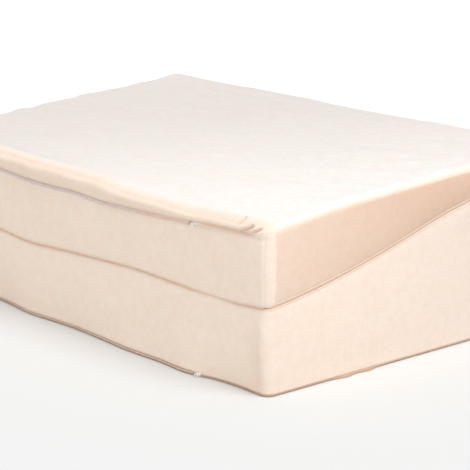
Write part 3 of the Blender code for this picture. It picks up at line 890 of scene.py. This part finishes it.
def velour_group():
    """Short pile cloth: a tone that wanders, brushed patches, and a fine fuzzy grain for the bump."""
    colour = "NodeSocketColor"
    number = "NodeSocketFloat"
    tree, into, out = new_group(
        "velour",
        (("Vector", "NodeSocketVector"), ("Plain", colour), ("Deep_Peach_And_Shade", colour), ("Painted_Light", colour),
         ("Shaded", colour), ("Base", colour), ("Turned Share", number), ("Pale Share", number),
         ("Shade Share", number), ("Base Share", number)),
        (("Colour", colour), ("Roughness", number), ("Height", number)),
    )
    place = into.outputs["Vector"]
    blotches = noise(tree, place, 85.0, 3.0)
    brushed = noise(tree, place, 160.0, 3.0, 0.6)
    grain = noise(tree, place, 620.0, 3.0, 0.7)
    fuzz = noise(tree, place, 1900.0, 2.0, 0.6)
    # Painted light and shade enter here: the deeper peach, the near white and the grey, and the tan, each
    # by its share from the mesh.
    tone = mixed(tree, into.outputs["Turned Share"], into.outputs["Plain"], into.outputs["Deep_Peach_And_Shade"])
    light = mixed(tree, into.outputs["Shade Share"], into.outputs["Painted_Light"], into.outputs["Shaded"])
    tone = mixed(tree, into.outputs["Pale Share"], tone, light)
    tone = mixed(tree, into.outputs["Base Share"], tone, into.outputs["Base"])
    for share, tint in (
        (spread(tree, blotches, 0.38, 0.65, 0.0, 0.50), (1.0, 0.93, 0.90, 1)),
        (spread(tree, brushed, 0.35, 0.70, 0.0, 0.55), (0.95, 0.945, 0.93, 1)),
        (spread(tree, grain, 0.35, 0.70, 0.0, 0.60), (0.93, 0.92, 0.90, 1)),
    ):
        tone = mixed(tree, share, tone, tint, "MULTIPLY")
    tree.links.new(tone, out.inputs["Colour"])
    tree.links.new(spread(tree, brushed, 0.3, 0.7, 0.88, 1.0), out.inputs["Roughness"])
    height = sum_of(tree, sum_of(tree, grain, 1.0, "MULTIPLY"), sum_of(tree, fuzz, 0.35, "MULTIPLY"))
    height = sum_of(tree, height, sum_of(tree, brushed, 0.9, "MULTIPLY"))
    tree.links.new(height, out.inputs["Height"])
    return tree


def woven_group():
    """Zip tape and coil: fine ribs across the tape, a smoother coil, and a little wear in the tone."""
    colour = "NodeSocketColor"
    number = "NodeSocketFloat"
    tree, into, out = new_group(
        "zip_weave",
        (("Vector", "NodeSocketVector"), ("Tape", colour), ("Coil", colour), ("Coil Share", number)),
        (("Colour", colour), ("Roughness", number), ("Height", number)),
    )
    links = (("Vector", into.outputs["Vector"]), ("Scale", 420.0), ("Distortion", 1.5))
    ribs = node_in(tree, "ShaderNodeTexWave", links)
    wear = noise(tree, into.outputs["Vector"], 300.0, 3.0)
    tone = mixed(tree, into.outputs["Coil Share"], into.outputs["Tape"], into.outputs["Coil"])
    final = mixed(tree, spread(tree, wear, 0.35, 0.7, 0.0, 0.8), tone, (0.88, 0.86, 0.86, 1), "MULTIPLY")
    tree.links.new(final, out.inputs["Colour"])
    tree.links.new(spread(tree, into.outputs["Coil Share"], 0, 1, 0.85, 0.45), out.inputs["Roughness"])
    tree.links.new(ribs.outputs["Fac"], out.inputs["Height"])
    return tree


def enamel_group():
    """White enamel on a zip slider: cloudy roughness, and a tone that wears darker in spots."""
    colour = "NodeSocketColor"
    number = "NodeSocketFloat"
    tree, into, out = new_group(
        "enamel",
        (("Vector", "NodeSocketVector"), ("Plate", colour), ("Worn", colour)),
        (("Colour", colour), ("Roughness", number), ("Height", number)),
    )
    cloud = noise(tree, into.outputs["Vector"], 700.0, 3.0)
    worn = spread(tree, cloud, 0.4, 0.7, 0.0, 1.0)
    final = mixed(tree, worn, into.outputs["Plate"], into.outputs["Worn"])
    tree.links.new(final, out.inputs["Colour"])
    tree.links.new(spread(tree, cloud, 0.3, 0.7, 0.20, 0.38), out.inputs["Roughness"])
    tree.links.new(noise(tree, into.outputs["Vector"], 2500.0, 2.0), out.inputs["Height"])
    return tree


def material(name, group, values, shares, bump_distance, bump_strength, constants):
    """A material from one of the groups: values and attributes feed it, and it feeds the shader."""
    made = bpy.data.materials.new(name)
    made.use_nodes = True
    tree = made.node_tree
    shader = tree.nodes["Principled BSDF"]
    effect = tree.nodes.new("ShaderNodeGroup")
    effect.node_tree = group
    place = tree.nodes.new("ShaderNodeTexCoord")
    tree.links.new(place.outputs["Object"], effect.inputs["Vector"])
    for label, colour in values.items():
        effect.inputs[label].default_value = (*colour, 1)
    for label, attribute_name in shares.items():
        reader = node_in(tree, "ShaderNodeAttribute", attribute_name=attribute_name)
        tree.links.new(reader.outputs["Fac"], effect.inputs[label])
    links = (("Height", effect.outputs["Height"]), ("Distance", bump_distance), ("Strength", bump_strength))
    bump = node_in(tree, "ShaderNodeBump", links)
    tree.links.new(effect.outputs["Colour"], shader.inputs["Base Color"])
    tree.links.new(effect.outputs["Roughness"], shader.inputs["Roughness"])
    tree.links.new(bump.outputs["Normal"], shader.inputs["Normal"])
    for label, value in constants.items():
        shader.inputs[label].default_value = value
    return made


def plain_material(name, colour, roughness):
    made = bpy.data.materials.new(name)
    made.use_nodes = True
    shader = made.node_tree.nodes["Principled BSDF"]
    shader.inputs["Base Color"].default_value = (*colour, 1)
    shader.inputs["Roughness"].default_value = roughness
    return made


def camera():
    """The photo's camera: its eye, turn, pitch and focal length worked out from the block's corners."""
    data = bpy.data.cameras.new("camera")
    obj = bpy.data.objects.new("camera", data)
    bpy.context.scene.collection.objects.link(obj)
    obj.location = Vector((1.6723, -1.4344, 0.6264)) + Vector(BLOCK_AT)
    obj.rotation_euler = (math.radians(90 - 14.10), 0, math.radians(48.82))
    data.sensor_width = 36
    data.lens = 153.87
    data.clip_end = 100
    bpy.context.scene.camera = obj


def sun_light(name, towards, strength, angle):
    """A far, wide and soft light that shines from the direction towards."""
    data = bpy.data.lights.new(name, "SUN")
    data.energy = strength
    data.angle = math.radians(angle)
    obj = bpy.data.objects.new(name, data)
    bpy.context.scene.collection.objects.link(obj)
    obj.rotation_euler = Vector(towards).to_track_quat("Z", "Y").to_euler()


def area_light(name, place, target, size, power, spread):
    """A round light at a place, facing its target, its beam narrowed to spread."""
    data = bpy.data.lights.new(name, "AREA")
    data.shape = "DISK"
    data.size = size
    data.energy = power
    data.spread = math.radians(spread)
    obj = bpy.data.objects.new(name, data)
    bpy.context.scene.collection.objects.link(obj)
    obj.location = place
    obj.rotation_euler = (Vector(target) - Vector(place)).to_track_quat("-Z", "Y").to_euler()


def studio():
    """A white world, a wide soft light from above on the right, a low one in front, and a whitish floor."""
    world = bpy.data.worlds.new("studio")
    world.use_nodes = True
    world.node_tree.nodes["Background"].inputs["Color"].default_value = (1, 1, 1, 1)
    world.node_tree.nodes["Background"].inputs["Strength"].default_value = 0.60
    bpy.context.scene.world = world
    bpy.context.scene.view_settings.view_transform = "Standard"
    sun_light("key", (0.50, 0.04, 0.86), 1.95, 40)
    sun_light("front_fill", (0.20, -0.95, 0.22), 0.44, 50)
    area_light("backdrop", (-1.8, 1.75, 1.6), (-1.8, 1.75, 0), 2.2, 30, 70)
    reach = np.linspace(-FLOOR_REACH, FLOOR_REACH, 9)
    u, v = np.meshgrid(reach, reach, indexing="ij")
    index = np.arange(u.size).reshape(u.shape)
    quads = np.stack([index[:-1, :-1], index[1:, :-1], index[1:, 1:], index[:-1, 1:]], axis=-1)
    floor = mesh_object("floor", np.stack([u, v, 0 * u], axis=-1).reshape(-1, 3), quads.reshape(-1, 4))
    floor.data.materials.append(plain_material("floor_white", (0.762, 0.775, 0.770), 0.9))


studio()
camera()

velour = velour_group()
cover = material(
    "velour_cover",
    velour,
    dict(
        # The cloth's own peach first; then the deeper peach of the side panels and painted shade, the near
        # white and grey of painted light and shade, and the tan of the foot band and painted shade.
        Plain=(0.965, 0.825, 0.705),
        Deep_Peach_And_Shade=(0.772, 0.548, 0.422),
        Painted_Light=(0.97, 0.93, 0.90),
        Shaded=(0.75, 0.705, 0.675),
        Base=(0.57, 0.395, 0.285),
    ),
    {"Turned Share": "deep_peach_and_shade", "Pale Share": "painted_light", "Shade Share": "shade", "Base Share": "tan_foot_and_shade"},
    0.0006,
    0.55,
    {"Sheen Weight": 0.12, "Sheen Roughness": 0.5, "Specular IOR Level": 0.15},
)
weave = woven_group()
upper_nylon = material(
    "upper_zip_nylon",
    weave,
    dict(Tape=(0.86, 0.66, 0.56), Coil=(0.80, 0.68, 0.655)),
    {"Coil Share": "coil"},
    0.0002,
    0.4,
    {"Specular IOR Level": 0.4},
)
# A darker, browner copy of the upper zip's nylon: painted shade for the zip under the foot.
lower_nylon_painted_shade = material(
    "lower_zip_nylon_painted_shade",
    weave,
    dict(Tape=(0.76, 0.57, 0.46), Coil=(0.79, 0.61, 0.51)),
    {"Coil Share": "coil"},
    0.0002,
    0.4,
    {"Specular IOR Level": 0.4},
)
slider_enamel = material(
    "slider_enamel",
    enamel_group(),
    dict(Plate=(0.97, 0.97, 0.97), Worn=(0.86, 0.85, 0.84)),
    {},
    0.00004,
    0.3,
    {"Coat Weight": 0.4, "Coat Roughness": 0.1},
)

thick = thick_half_piece()
thin = thin_half_piece()
for piece, node in ((thick, "thick_half"), (thin, "thin_half")):
    piece.data.materials.append(cover)
    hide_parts(node)
    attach(piece, "root")

hinge = hinge_piece()
# The hinge cloth is painted with the crease's shade: deeper peach all over.
for name, share in (("deep_peach_and_shade", HINGE_PAINTED_SHADE), ("painted_light", 0), ("shade", 0), ("tan_foot_and_shade", 0)):
    attribute(hinge, name, np.full(len(hinge.data.vertices), share))
hinge.data.materials.append(cover)
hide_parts("hinge_strip")
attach(hinge, "root")

upper_zip = zip_piece(
    "upper_zip_chain",
    lambda x: column(FRONT, "x", "zip_height", x) + UPPER_ZIP_RISE,
    lambda x: 0 * x + GROOVE_DEPTH - ZIP_CLEAR,
    UPPER_ZIP_TALL,
    ZIP_END - ZIP_STOP,
)
lower_zip = zip_piece(
    "lower_zip_chain",
    lambda x: 0 * x + LOWER_ZIP_HEIGHT,
    lambda x: LOWER_GROOVE_DEPTH - ZIP_CLEAR - column(FRONT, "x", "foot_out", x),
    LOWER_ZIP_TALL,
    ZIP_END - ZIP_STOP + LOWER_SLIDER_SHIFT[0],
)
for piece, node, nylon in ((upper_zip, "upper_zip", upper_nylon), (lower_zip, "lower_zip", lower_nylon_painted_shade)):
    piece.data.materials.append(nylon)
    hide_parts(node)
    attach(piece, "root")

sliders = (
    ("upper", math.radians(40), np.array((0.0, 0.0, 0.0))),
    ("lower", math.radians(20), LOWER_SLIDER_SHIFT),
)
fittings = []
for side, tilt, shift in sliders:
    slider = side + "_slider"
    pull = side + "_pull"
    fittings.append((slider_piece(slider + "_body", slider, shift), slider))
    fittings.append((pull_piece(pull + "_loop", pull, slider, tilt, shift), pull))
for piece, node in fittings:
    piece.data.materials.append(slider_enamel)
    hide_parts(node)
    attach(piece, "root")
